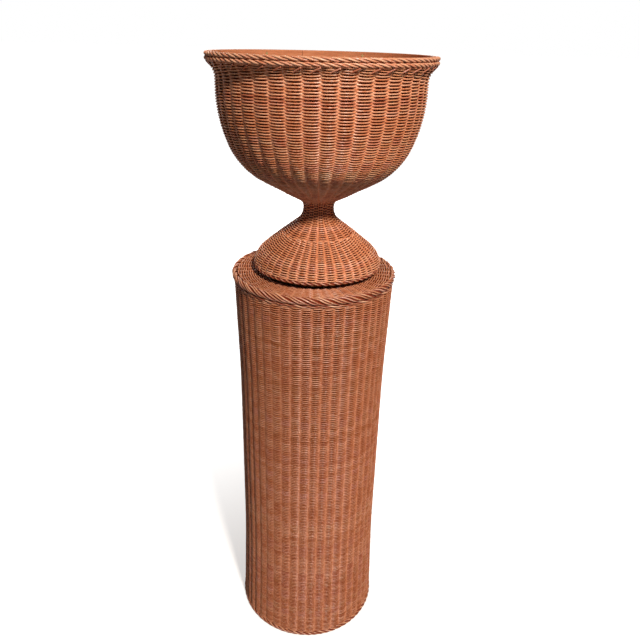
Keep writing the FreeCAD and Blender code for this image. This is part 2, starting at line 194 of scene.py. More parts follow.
def bundleObject(bundle, name, material, body, nodes):
    # one mesh object of all the strands, which rides on a body and stands for some nodes
    points = np.concatenate(bundle["points"]).astype(np.float32)
    quads = np.concatenate(bundle["quads"]).astype(np.int32)
    mesh = bpy.data.meshes.new(name)
    mesh.vertices.add(len(points))
    mesh.vertices.foreach_set("co", points.ravel())
    mesh.loops.add(quads.size)
    mesh.loops.foreach_set("vertex_index", quads.ravel())
    mesh.polygons.add(len(quads))
    mesh.polygons.foreach_set("loop_start", np.arange(0, quads.size, 4, dtype=np.int32))
    mesh.polygons.foreach_set("loop_total", np.full(len(quads), 4, np.int32))
    mesh.update(calc_edges=True)
    mesh.polygons.foreach_set("use_smooth", np.ones(len(quads), bool))
    for key, label in (("fibre", "fibre"), ("look", "reedLook")):
        values = np.concatenate(bundle[key]).astype(np.float32)
        mesh.attributes.new(label, "FLOAT_VECTOR", "POINT").data.foreach_set("vector", values.ravel())
    mesh.materials.append(material)
    piece = bpy.data.objects.new(name, mesh)
    bpy.context.scene.collection.objects.link(piece)
    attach(piece, body)
    if nodes:
        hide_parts(*nodes)
    print(name, bundle["faces"], "triangles")


# Weaving: each weaver goes in front of one stake and behind the next

def samplesPerTurn(plan):
    return plan["groups"] * plan.get("samples", stock["samplesPerStake"])


def weaversIn(plan):
    # an odd count of stakes takes one endless weaver, an even count takes two that chase each other
    return 2 if plan["groups"] % 2 == 0 else 1


def weaverLine(profile, plan, weaver, rng):
    groups = plan["groups"]
    weavers = weaversIn(plan)
    half = stock["reedTall"] / 2
    perTurn = samplesPerTurn(plan)
    turns = 2 + profile["length"] / (plan["rowPitch"] * weavers)
    angle = np.arange(int(turns * perTurn) + 1) * 2 * np.pi / perTurn
    climb = plan["rowPitch"] * (weaver + weavers * (angle / (2 * np.pi) - 1))
    count = len(angle)
    climb = climb + wander(count, perTurn / drift["climbKnots"], plan["rowDrift"], rng)
    climb = np.clip(half + climb, half, profile["length"] - half)
    r, z, nr, nz, bend = atProfile(profile, climb)
    swing = np.cos(groups / 2 * (angle - plan["firstStake"] * 2 * np.pi / groups) + np.pi * weaver)
    swing = swing * (1 + plan["fullness"] * (1 - swing * swing))
    reach = plan["reach"] * np.minimum(1, r / plan["fullReachRadius"])
    reach = reach * (1 + wander(count, perTurn / drift["reachKnots"], drift["reachSize"], rng))
    depth = stock["wallDepth"] / 2 - reach * swing
    depth = depth + wander(count, perTurn / drift["depthKnots"], plan["depthDrift"], rng)
    depth = np.maximum(depth, stock["reedDeep"] / 2)
    centres = aroundAxis(r - nr * depth, z - nz * depth, angle, plan["axisX"])
    outward = np.stack([nr * np.cos(angle), nr * np.sin(angle), nz], 1)
    along = np.concatenate([[0], np.cumsum(np.linalg.norm(np.diff(centres, axis=0), axis=1))])
    tone, hue = reedLots(along, stock["reedLength"], rng)
    stains = wander(count, perTurn / drift["toneKnots"], drift["toneSize"], rng)
    tone = np.clip(0.5 + plan["toneSpread"] * (tone - 0.5) + stains, 0, 1)
    hue = np.clip(hue + plan["hueStep"] * (weaver - 0.5), 0, 1)
    thick = 1 + wander(count, perTurn / drift["thickKnots"], drift["thickSize"], rng)
    behind = np.clip(-stock["backReach"] * swing, 0, 1)
    tall = thick * stock["reedTall"] * (1 + plan["swell"] * swing * swing * (swing > 0)
                                        + stock["backSwell"] * behind)
    # behind a hollow curve the rows lie further apart, so the reed spreads to meet its neighbours
    tall = tall * np.maximum(1, 1 - stock["hollowSpread"] * bend * depth)
    # how deep the reed lies in the wall; the material paints shade from it
    sunk = np.clip(depth / stock["wallDepth"], 0, 1)
    return {"centres": centres, "outward": outward, "wide": thick * stock["reedDeep"], "tall": tall,
            "tone": tone, "hue": hue, "sunk": sunk}


strandKeys = ("centres", "outward", "wide", "tall", "tone", "hue", "sunk")


def weave(profile, plan, cuts=()):
    # all the weavers of a wall, cut into pieces: at the given distances, or else into equal
    # ones that stay small enough to export whole
    rng = np.random.default_rng(plan["seed"])
    weavers = weaversIn(plan)
    lines = [weaverLine(profile, plan, k, rng) for k in range(weavers)]
    samples = len(lines[0]["centres"])
    if len(cuts) > 0:
        ends = [int((1 + cut / (plan["rowPitch"] * weavers)) * samplesPerTurn(plan)) for cut in cuts]
        ends = [0] + ends + [samples - 1]
    else:
        pieces = math.ceil(samples * weavers * 2 * stock["sides"] / stock["pieceFaces"])
        ends = np.linspace(0, samples - 1, pieces + 1).astype(int)
    bundles = []
    for start, end in zip(ends[:-1], ends[1:]):
        bundle = newBundle()
        for line in lines:
            addStrand(bundle, *(line[key][start:end + 1] for key in strandKeys))
        bundles.append(bundle)
    return bundles


def bendCord(bundle, plan, rng):
    # strands twisted round a ring-shaped line; an oval section has two half sizes
    circle, height = plan["circle"], plan["height"]
    outHalf, upHalf = plan["halfSizes"]
    strands, turns, wide = plan["strands"], plan["turns"], plan["strandWide"]
    count = turns * plan["samplesPerTurn"]
    angle = np.arange(count) * 2 * np.pi / count
    for k in range(strands):
        start = 2 * np.pi * (k + plan["pairing"] * (0.5 - k % 2)) / strands
        even = plan["hand"] * turns * angle + start
        roll = even + wander(count, count / turns, plan["rollDrift"], rng)
        roll[-plan["samplesPerTurn"]:] = even[-plan["samplesPerTurn"]:]
        dip = plan["dip"] * (0.5 - 0.5 * np.cos(2 * roll + np.pi * (k % 2)))
        outSize = outHalf - wide / 2 - dip
        upSize = upHalf - wide / 2 - dip
        r = circle + outSize * np.cos(roll)
        z = height + upSize * np.sin(roll)
        centres = aroundAxis(r, z, angle, plan["axisX"])
        outward = np.stack([np.cos(roll) * np.cos(angle), np.cos(roll) * np.sin(angle), np.sin(roll)], 1)
        tone = rng.uniform(*plan["tones"])
        tone = np.clip(tone + wander(count, count / turns, plan["toneDrift"], rng), 0, 1)
        thick = 1 + wander(count, count / turns / 2, plan["thickDrift"], rng)
        last = plan["closingSamples"]
        for values in (tone, thick):
            values[-last:] = np.linspace(values[-last - 1], values[0], last + 2)[1:-1]
        # a strand that dives under its neighbours counts as lying deeper, so it takes more painted shade
        addStrand(bundle, centres, outward, wide * thick, wide * thick, tone, rng.random(),
                  plan["sunk"] + dip / stock["wallDepth"], sides=plan["sides"], closed=True)
    core = aroundAxis(np.full(count, circle), np.full(count, height), angle, plan["axisX"])
    outward = np.stack([np.cos(angle), np.sin(angle), np.zeros(count)], 1)
    coreWide, coreTall = (2 * (size - wide * plan["coreShare"]) for size in (outHalf, upHalf))
    tone, hue, sunk = plan["coreLook"]
    addStrand(bundle, core, outward, coreWide, coreTall, tone, hue, sunk, sides=plan["sides"], closed=True)


# Materials: every strand carries where it is along its fibre, its tone, its hue and how deep it lies

def groupSocket(group, name, inOut, kind, value=None):
    socket = group.interface.new_socket(name=name, in_out=inOut, socket_type=kind)
    if value is not None:
        socket.default_value = value


def node(tree, kind, **settings):
    made = tree.nodes.new(kind)
    for key, value in settings.items():
        setattr(made, key, value)
    return made


def mixColour(tree, blend, factor, first, second):
    mix = node(tree, "ShaderNodeMix", data_type="RGBA", blend_type=blend)
    for socket, value in zip((mix.inputs[0], mix.inputs[6], mix.inputs[7]), (factor, first, second)):
        if isinstance(value, bpy.types.NodeSocket):
            tree.links.new(value, socket)
        else:
            socket.default_value = value
    return mix.outputs[2]


def maths(tree, operation, *values):
    made = node(tree, "ShaderNodeMath", operation=operation)
    for socket, value in zip(made.inputs, values):
        if isinstance(value, bpy.types.NodeSocket):
            tree.links.new(value, socket)
        else:
            socket.default_value = value
    return made.outputs[0]


def ranged(tree, value, low, high, newLow, newHigh):
    # a value between low and high becomes one between newLow and newHigh, and stops there
    made = node(tree, "ShaderNodeMapRange")
    tree.links.new(value, made.inputs[0])
    for socket, setting in zip(made.inputs[1:5], (low, high, newLow, newHigh)):
        socket.default_value = setting
    return made.outputs[0]


def noise(tree, vector, scale, detail, rough=0.5):
    made = node(tree, "ShaderNodeTexNoise")
    made.inputs["Scale"].default_value = scale
    made.inputs["Detail"].default_value = detail
    made.inputs["Roughness"].default_value = rough
    tree.links.new(vector, made.inputs["Vector"])
    return made.outputs["Fac"]


def stretched(tree, vector, factors):
    # larger factors give finer noise along that axis
    made = node(tree, "ShaderNodeVectorMath", operation="MULTIPLY")
    tree.links.new(vector, made.inputs[0])
    made.inputs[1].default_value = factors
    return made.outputs[0]


# four numbers are a range to read and the range that it becomes
reedLook = {
    "tonesApart": (31.0, 17.0, 0.0),      # moves the noise on from one length of reed to the next
    "streaks": (45.0, 2.6, 2.6),          # fine lines along the fibre
    "blotches": (14.0, 0.5, 0.5),         # broad patches where the stain took better
    "toneShare": 0.40,                    # what makes up the shade: the length's own tone,
    "blotchShare": 0.75,                  # its patches
    "streakShare": 0.30,                  # and its fine lines
    "darkToMiddle": (0.38, 0.70),         # shades between which one colour turns into the next
    "middleToPale": (0.66, 1.10),
    "pink": (0.90, 0.84, 1.15, 1),
    "pinkHues": (0.75, 0.95, 0, 0.5),
    "green": (0.86, 1.0, 0.92, 1),
    "greenHues": (0.10, 0.04, 0, 0.35),
    "turnOver": 0.4,                      # a face is outside or inside beyond this share of its section
    "deepest": 0.9,                       # how much of the painted shade colour shows at the very back
    "edge": (0.50, 0.95),                 # from the middle line of a reed to its edge
    "rowsApart": (0.08, 0.22),            # how far from the middle of the wall the rows stand open
    "roughness": (0.3, 0.7, 0.40, 0.58),
    "worn": (0.35, 0.60, 0.35, 1.0),      # where the varnish has worn off, by patches
}


def buildReedGroup():
    # stained rattan reed, read from the strand's own attributes, with painted shade on faces that lie deep in
    # the wall and along the edges of a reed
    group = bpy.data.node_groups.new("stainedReedWithPaintedShade", "ShaderNodeTree")
    for name, value in (("Pale", (0.95, 0.55, 0.35, 1)), ("Middle", (0.74, 0.265, 0.115, 1)),
                        ("Dark", (0.43, 0.105, 0.038, 1)), ("Painted Shade Colour", (0.20, 0.022, 0.005, 1))):
        groupSocket(group, name, "INPUT", "NodeSocketColor", value)
    groupSocket(group, "Painted Shade Start", "INPUT", "NodeSocketFloat", 0.55)
    groupSocket(group, "Painted Shade Depth", "INPUT", "NodeSocketFloat", 0.82)
    groupSocket(group, "Edge Painted Shade", "INPUT", "NodeSocketFloat", 0.38)
    groupSocket(group, "Colour", "OUTPUT", "NodeSocketColor")
    groupSocket(group, "Roughness", "OUTPUT", "NodeSocketFloat")
    groupSocket(group, "Height", "OUTPUT", "NodeSocketFloat")
    groupSocket(group, "Gloss", "OUTPUT", "NodeSocketFloat")
    given = node(group, "NodeGroupInput")
    result = node(group, "NodeGroupOutput")
    fibre = node(group, "ShaderNodeAttribute", attribute_name="fibre")
    look = node(group, "ShaderNodeAttribute", attribute_name="reedLook")
    parts = node(group, "ShaderNodeSeparateXYZ")
    group.links.new(look.outputs["Vector"], parts.inputs[0])
    tone, hue, sunk = parts.outputs
    shifted = node(group, "ShaderNodeVectorMath", operation="ADD")
    group.links.new(fibre.outputs["Vector"], shifted.inputs[0])
    apart = stretched(group, look.outputs["Vector"], reedLook["tonesApart"])
    group.links.new(apart, shifted.inputs[1])
    streaks = noise(group, stretched(group, shifted.outputs[0], reedLook["streaks"]), 1.0, 3.0, 0.6)
    blotches = noise(group, stretched(group, shifted.outputs[0], reedLook["blotches"]), 1.0, 2.0)
    shade = maths(group, "ADD", maths(group, "MULTIPLY", tone, reedLook["toneShare"]),
                  maths(group, "MULTIPLY", blotches, reedLook["blotchShare"]))
    shade = maths(group, "ADD", shade, maths(group, "MULTIPLY", streaks, reedLook["streakShare"]))
    stained = mixColour(group, "MIX", ranged(group, shade, *reedLook["darkToMiddle"], 0, 1),
                        given.outputs["Dark"], given.outputs["Middle"])
    colour = mixColour(group, "MIX", ranged(group, shade, *reedLook["middleToPale"], 0, 1),
                       stained, given.outputs["Pale"])
    # the stain took differently on some lengths: purple-pink on a few, grey-green on fewer
    pink = mixColour(group, "MULTIPLY", 1.0, colour, reedLook["pink"])
    colour = mixColour(group, "MIX", ranged(group, hue, *reedLook["pinkHues"]), colour, pink)
    green = mixColour(group, "MULTIPLY", 1.0, colour, reedLook["green"])
    colour = mixColour(group, "MIX", ranged(group, hue, *reedLook["greenHues"]), colour, green)
    # painted shade: a face that lies deep in the wall, seen from its own side, takes the shade colour
    sides = node(group, "ShaderNodeSeparateXYZ")
    group.links.new(fibre.outputs["Vector"], sides.inputs[0])
    facing = ranged(group, sides.outputs[1], -reedLook["turnOver"], reedLook["turnOver"], -1, 1)
    seen = maths(group, "ADD", maths(group, "MULTIPLY", maths(group, "SUBTRACT", sunk, 0.5), facing), 0.5)
    shadeMask = node(group, "ShaderNodeMapRange", interpolation_type="SMOOTHSTEP")
    group.links.new(seen, shadeMask.inputs[0])
    group.links.new(given.outputs["Painted Shade Start"], shadeMask.inputs[1])
    group.links.new(given.outputs["Painted Shade Depth"], shadeMask.inputs[2])
    shadeMask.inputs[4].default_value = reedLook["deepest"]
    # painted shade along the edges of a reed, where the rows stand apart, but not where the rows close up
    # between stakes
    edge = ranged(group, maths(group, "ABSOLUTE", sides.outputs[2]), *reedLook["edge"], 0, 1)
    fromMiddle = maths(group, "ABSOLUTE", maths(group, "SUBTRACT", sunk, 0.5))
    edgeShade = maths(group, "MULTIPLY", edge, ranged(group, fromMiddle, *reedLook["rowsApart"], 0, 1))
    edgeShade = maths(group, "MULTIPLY", edgeShade, given.outputs["Edge Painted Shade"])
    colour = mixColour(group, "MIX", edgeShade, colour, given.outputs["Painted Shade Colour"])
    colour = mixColour(group, "MIX", shadeMask.outputs[0], colour, given.outputs["Painted Shade Colour"])
    group.links.new(colour, result.inputs["Colour"])
    group.links.new(ranged(group, streaks, *reedLook["roughness"]), result.inputs["Roughness"])
    group.links.new(streaks, result.inputs["Height"])
    worn = ranged(group, blotches, *reedLook["worn"])
    shallow = maths(group, "SUBTRACT", reedLook["deepest"], shadeMask.outputs[0])
    group.links.new(maths(group, "MULTIPLY", worn, shallow), result.inputs["Gloss"])
    return group


reedFinish = {
    "bumpStrength": 0.25,
    "bumpDistance": 0.0002,
    "specular": 0.06,
    "shine": (0.12, 0.50, 1.1, 0.0),      # full where a reed faces the eye, none along its edges
    "coatRoughness": 0.30,
}


def reedMaterial(name, settings):
    material = bpy.data.materials.new(name)
    material.use_nodes = True
    tree = material.node_tree
    shader = tree.nodes["Principled BSDF"]
    reed = node(tree, "ShaderNodeGroup", node_tree=reedGroup)
    for key, value in settings.items():
        reed.inputs[key].default_value = value
    bump = node(tree, "ShaderNodeBump")
    bump.inputs["Strength"].default_value = reedFinish["bumpStrength"]
    bump.inputs["Distance"].default_value = reedFinish["bumpDistance"]
    tree.links.new(reed.outputs["Height"], bump.inputs["Height"])
    tree.links.new(bump.outputs[0], shader.inputs["Normal"])
    tree.links.new(reed.outputs["Colour"], shader.inputs["Base Color"])
    tree.links.new(reed.outputs["Roughness"], shader.inputs["Roughness"])
    shader.inputs["Specular IOR Level"].default_value = reedFinish["specular"]
    facing = node(tree, "ShaderNodeLayerWeight").outputs["Facing"]
    shine = maths(tree, "MULTIPLY", ranged(tree, facing, *reedFinish["shine"]), reed.outputs["Gloss"])
    tree.links.new(shine, shader.inputs["Coat Weight"])
    shader.inputs["Coat Roughness"].default_value = reedFinish["coatRoughness"]
    return material


grainFinish = {
    "fineScale": 9.0,
    "broadScale": 1.7,
    "fineShare": 0.6,
    "contrast": (0.35, 0.65),
    "roughness": (0.3, 0.7, 0.55, 0.75),
    "bumpStrength": 0.3,
    "bumpDistance": 0.0003,
    "specular": 0.06,
}


def buildGrainGroup():
    # plain wood and cane on the hidden frame: grain runs along one direction of the given vector
    group = bpy.data.node_groups.new("woodGrain", "ShaderNodeTree")
    groupSocket(group, "Vector", "INPUT", "NodeSocketVector")
    groupSocket(group, "Pale", "INPUT", "NodeSocketColor", (0.6, 0.4, 0.2, 1))
    groupSocket(group, "Dark", "INPUT", "NodeSocketColor", (0.3, 0.15, 0.07, 1))
    groupSocket(group, "Colour", "OUTPUT", "NodeSocketColor")
    groupSocket(group, "Roughness", "OUTPUT", "NodeSocketFloat")
    groupSocket(group, "Height", "OUTPUT", "NodeSocketFloat")
    given = node(group, "NodeGroupInput")
    result = node(group, "NodeGroupOutput")
    fine = noise(group, given.outputs["Vector"], grainFinish["fineScale"], 6.0, 0.65)
    broad = noise(group, given.outputs["Vector"], grainFinish["broadScale"], 2.0)
    blend = maths(group, "ADD", maths(group, "MULTIPLY", fine, grainFinish["fineShare"]),
                  maths(group, "MULTIPLY", broad, 1 - grainFinish["fineShare"]))
    colour = mixColour(group, "MIX", ranged(group, blend, *grainFinish["contrast"], 0, 1),
                       given.outputs["Dark"], given.outputs["Pale"])
    group.links.new(colour, result.inputs["Colour"])
    group.links.new(ranged(group, fine, *grainFinish["roughness"]), result.inputs["Roughness"])
    group.links.new(fine, result.inputs["Height"])
    return group


def grainMaterial(name, settings):
    # turned pieces take their grain along the angle, straight ones along a stretched axis
    material = bpy.data.materials.new(name)
    material.use_nodes = True
    tree = material.node_tree
    shader = tree.nodes["Principled BSDF"]
    place = node(tree, "ShaderNodeTexCoord").outputs["Object"]
    if settings["round"]:
        parts = node(tree, "ShaderNodeSeparateXYZ")
        tree.links.new(place, parts.inputs[0])
        x = maths(tree, "SUBTRACT", parts.outputs[0], settings.get("axisX", 0.0))
        far = maths(tree, "SQRT", maths(tree, "ADD", maths(tree, "MULTIPLY", x, x),
                                        maths(tree, "MULTIPLY", parts.outputs[1], parts.outputs[1])))
        join = node(tree, "ShaderNodeCombineXYZ")
        tree.links.new(maths(tree, "ARCTAN2", parts.outputs[1], x), join.inputs[0])
        tree.links.new(far, join.inputs[1])
        tree.links.new(parts.outputs[2], join.inputs[2])
        place = join.outputs[0]
    grain = node(tree, "ShaderNodeGroup", node_tree=grainGroup)
    tree.links.new(stretched(tree, place, settings["stretch"]), grain.inputs["Vector"])
    grain.inputs["Pale"].default_value = settings["pale"]
    grain.inputs["Dark"].default_value = settings["dark"]
    bump = node(tree, "ShaderNodeBump")
    bump.inputs["Strength"].default_value = grainFinish["bumpStrength"]
    bump.inputs["Distance"].default_value = grainFinish["bumpDistance"]
    tree.links.new(grain.outputs["Height"], bump.inputs["Height"])
    tree.links.new(bump.outputs[0], shader.inputs["Normal"])
    tree.links.new(grain.outputs["Colour"], shader.inputs["Base Color"])
    tree.links.new(grain.outputs["Roughness"], shader.inputs["Roughness"])
    shader.inputs["Specular IOR Level"].default_value = grainFinish["specular"]
    return material


metalFinish = {"marks": (900.0, 900.0, 300.0), "contrast": (0.35, 0.75), "roughness": (0.3, 0.7, 0.25, 0.5)}


def metalMaterial(name, settings):
    material = bpy.data.materials.new(name)
    material.use_nodes = True
    tree = material.node_tree
    shader = tree.nodes["Principled BSDF"]
    place = node(tree, "ShaderNodeTexCoord").outputs["Object"]
    marks = noise(tree, stretched(tree, place, metalFinish["marks"]), 1.0, 4.0, 0.6)
    colour = mixColour(tree, "MIX", ranged(tree, marks, *metalFinish["contrast"], 0, 1),
                       settings["bright"], settings["dull"])
    tree.links.new(colour, shader.inputs["Base Color"])
    tree.links.new(ranged(tree, marks, *metalFinish["roughness"]), shader.inputs["Roughness"])
    shader.inputs["Metallic"].default_value = 1.0
    return material


reedGroup = buildReedGroup()
grainGroup = buildGrainGroup()
materials = {
    "wall_weave": reedMaterial("wallReed", {
        "Pale": (0.84, 0.42, 0.26, 1), "Middle": (0.55, 0.180, 0.074, 1), "Dark": (0.31, 0.072, 0.025, 1)}),
    "urn_weave": reedMaterial("urnReed", {}),
    # painted shade: a darker copy of the wall's reed, because the shoulder faces up into the lamp
    "shoulder_weave": reedMaterial("shoulderReedPaintedShade", {
        "Pale": (0.80, 0.39, 0.23, 1), "Middle": (0.52, 0.17, 0.072, 1), "Dark": (0.28, 0.070, 0.026, 1)}),
    # the border's strands take strong painted shade along their edges
    "border_cane": reedMaterial("borderCane", {
        "Pale": (0.98, 0.58, 0.37, 1), "Middle": (0.56, 0.20, 0.09, 1), "Dark": (0.15, 0.035, 0.013, 1),
        "Edge Painted Shade": 0.95}),
    "rim_cane": reedMaterial("rimCane", {}),
    "stake_ends": reedMaterial("stakeEndCane", {
        "Pale": (0.86, 0.44, 0.27, 1), "Middle": (0.60, 0.20, 0.09, 1), "Dark": (0.34, 0.085, 0.034, 1)}),
    # painted shade: the stakes are coloured near-black red, far darker than the weavers, for the shade in the
    # gaps where they show
    "stake_cane": grainMaterial("stakeCanePaintedShade", {
        "round": False, "stretch": (500.0, 500.0, 25.0),
        "pale": (0.22, 0.050, 0.020, 1), "dark": (0.10, 0.022, 0.008, 1)}),
    "hoop_strip": grainMaterial("hoopStrip", {
        "round": True, "axisX": urnOffset, "stretch": (4.0, 260.0, 260.0),
        "pale": (0.66, 0.28, 0.14, 1), "dark": (0.42, 0.14, 0.06, 1)}),
    "pole_cane": grainMaterial("poleCane", {
        "round": False, "stretch": (90.0, 90.0, 9.0),
        "pale": (0.62, 0.42, 0.22, 1), "dark": (0.38, 0.21, 0.09, 1)}),
    "board_plywood": grainMaterial("boardPlywood", {
        "round": False, "stretch": (7.0, 90.0, 300.0),
        "pale": (0.40, 0.20, 0.10, 1), "dark": (0.24, 0.11, 0.05, 1)}),
    "post_wood": grainMaterial("postWood", {
        "round": False, "stretch": (120.0, 120.0, 8.0),
        "pale": (0.60, 0.40, 0.21, 1), "dark": (0.36, 0.20, 0.09, 1)}),
    "steel": metalMaterial("platedSteel", {"bright": (0.62, 0.62, 0.60, 1), "dull": (0.40, 0.39, 0.37, 1)}),
    "brass": metalMaterial("brassPins", {"bright": (0.83, 0.62, 0.28, 1), "dull": (0.55, 0.38, 0.15, 1)}),
}
for part in frame["record"]["subparts"]:
    shown = frame["nodes"][part["node"]]
    shown.data.materials.clear()
    shown.data.materials.append(materials[part["material_slot"]])
print("materials made")


# The plan of a weave, for the wall and those below it:
# groups is how many stakes, or pairs of them, stand round it, the first one firstStake steps on
# rowPitch is from row to row; reach is how far a weaver swings to each side of the wall's middle,
# which it does in full beyond fullReachRadius; fullness squares the swing off
# swell makes a weaver taller where it passes in front of a stake
# toneSpread is how far its lengths differ, and hueStep how far its two weavers do

# Pedestal wall
wall = {
    "corners": [(0.158, 0.0107), (0.1515, 0.2157), (0.1515, 0.6332), (0.158, 0.8382)],  # radius, height
    "radii": [4.0, 4.0],      # of the arcs at the corners between the ends
    "plan": {"groups": 48, "firstStake": 0.5, "rowPitch": 0.00215, "rowDrift": 0.00022, "fullness": 0.12,
             "reach": 0.00285, "fullReachRadius": 0.05, "depthDrift": 0.00018, "axisX": 0.0, "seed": 11,
             "toneSpread": 0.45, "hueStep": 0.30, "swell": -0.10},
}


def buildWall():
    profile = roundedProfile(wall["corners"], wall["radii"])
    for k, bundle in enumerate(weave(profile, wall["plan"]), 1):
        bundleObject(bundle, f"wall_weave_{k}", materials["wall_weave"], "pedestal",
                     ["pedestal_weave"])


buildWall()

# Shoulder: the flat ring of weave round the urn's foot
shoulder = {
    "corners": [(0.151, 0.8585), (0.129, 0.8585), (0.1072, 0.8585)],
    "radii": [0.001],
    "plan": {"groups": 48, "firstStake": 0.5, "rowPitch": 0.00228, "rowDrift": 0.0002, "fullness": 0.12,
             "reach": 0.00265, "fullReachRadius": 0.05, "depthDrift": 0.00015, "axisX": 0.0, "seed": 12,
             "toneSpread": 0.6, "hueStep": 0.2, "swell": 0.05},
}


def buildShoulder():
    profile = roundedProfile(shoulder["corners"], shoulder["radii"])
    for k, bundle in enumerate(weave(profile, shoulder["plan"]), 1):
        bundleObject(bundle, f"shoulder_weave_{k}", materials["shoulder_weave"], "pedestal",
                     ["shoulder_weave"])


buildShoulder()

# Urn: foot, neck and bowl share one profile and its stakes
urn = {
    "foot": 0.8505,           # the height that the corners are measured from
    "corners": [(0.1247, 0.0232), (0.1224, 0.0423), (0.0316, 0.117), (0.0316, 0.1406), (0.152, 0.2086),
                (0.1863, 0.2953), (0.1863, 0.367), (0.1988, 0.3851)],
    "radii": [0.048, 0.028, 0.013, 0.125, 0.235, 0.03],
    "pairedRadius": 0.07,     # nearer the neck than this the stakes are taken two by two
    "neckRadius": 0.0345,     # and inside this it is the neck
    "plan": {"rowPitch": 0.0023, "rowDrift": 0.00025, "fullness": 0.15, "reach": 0.00275,
             "fullReachRadius": 0.05, "depthDrift": 0.0002, "axisX": urnOffset, "toneSpread": 0.5,
             "hueStep": 0.15, "swell": 0.06},
    "single": {"groups": 42, "firstStake": 0.0},
    "paired": {"groups": 21, "firstStake": 0.25, "fullness": 0.45, "samples": 10,
               "fullReachRadius": 0.085, "seed": 22},
    "footPlan": {"seed": 21, "rowPitch": 0.00225},
    "bowlPlan": {"seed": 24, "fullReachRadius": 0.10},
}


def buildUrn():
    corners = [(r, urn["foot"] + z) for r, z in urn["corners"]]
    profile = roundedProfile(corners, urn["radii"])
    s, r = profile["s"], profile["r"]
    neck = s[np.argmin(r)]
    below, above = s < neck, s >= neck
    marks = {
        "footPairs": s[below][r[below] < urn["pairedRadius"]][0],
        "neckStart": s[below][r[below] < urn["neckRadius"]][0],
        "neckEnd": s[above][r[above] > urn["neckRadius"]][0],
        "bowlSingles": s[above][r[above] > urn["pairedRadius"]][0],
    }
    jobs = [
        ("foot_weave", 0, marks["footPairs"], urn["footPlan"]),
        ("bowl_weave", marks["bowlSingles"], profile["length"], urn["bowlPlan"]),
    ]
    for name, start, end, own in jobs:
        plan = {**urn["plan"], **urn["single"], **own}
        for k, bundle in enumerate(weave(cutProfile(profile, start, end), plan), 1):
            bundleObject(bundle, f"{name}_{k}", materials["urn_weave"], "urn", [name])
    start = marks["footPairs"]
    middle = cutProfile(profile, start, marks["bowlSingles"])
    cuts = (marks["neckStart"] - start, marks["neckEnd"] - start)
    bundles = weave(middle, {**urn["plan"], **urn["paired"]}, cuts)
    replaced = {"foot_collar_weave": "foot_collar", "neck_weave": "neck_binding",
                "bowl_collar_weave": "bowl_weave"}
    for (name, nodeName), bundle in zip(replaced.items(), bundles):
        bundleObject(bundle, name, materials["urn_weave"], "urn", [nodeName])
    return profile


urnProfile = buildUrn()

# The ends of the urn's stakes, bent over to the right under the rim's lower cord
stakeEnds = {
    "count": 42,
    "rimFrom": 1.15,          # the rim's part of the profile starts above this height
    "low": 1.2270,
    "high": 1.2350,
    "lowDrift": (-0.002, 0.001),
    "lean": 0.080,            # how far an end leans over, as an angle round the axis
    "leanPower": 1.3,
    "angleDrift": 0.008,
    "wide": 0.0031,
    "flatness": 0.8,
    "tilt": -0.5,             # how far the flat side of an end looks down
    "sunkLow": 0.0028,        # inside the face of the weave at the lower end
    "proudHigh": -0.0003,     # and at the upper one
    "samples": 9,
    "tones": (0.2, 0.6),
    "hue": 0.9,
    # how deep the ends count as lying, which sets their painted shade
    "sunk": 0.2,
    "seed": 51,
}


def buildStakeEnds():
    plan = stakeEnds
    rng = np.random.default_rng(plan["seed"])
    upper = urnProfile["z"] > plan["rimFrom"]
    t = np.linspace(0, 1, plan["samples"])
    bundle = newBundle()
    for k in range(plan["count"]):
        start = 2 * np.pi * k / plan["count"] + rng.uniform(-plan["angleDrift"], plan["angleDrift"])
        angle = start + plan["lean"] * t ** plan["leanPower"]
        low = plan["low"] + rng.uniform(*plan["lowDrift"])
        height = low + (plan["high"] - low) * t
        face = np.interp(height, urnProfile["z"][upper], urnProfile["r"][upper])
        r = face - plan["sunkLow"] + (plan["sunkLow"] + plan["proudHigh"]) * np.sqrt(t)
        centres = aroundAxis(r, height, angle, urnOffset)
        outward = np.stack([np.cos(angle), np.sin(angle), np.full(len(t), plan["tilt"])], 1)
        addStrand(bundle, centres, outward, plan["wide"] * plan["flatness"], plan["wide"],
                  rng.uniform(*plan["tones"]), plan["hue"], plan["sunk"])
    bundleObject(bundle, "stake_ends", materials["stake_ends"], "urn", [])


buildStakeEnds()

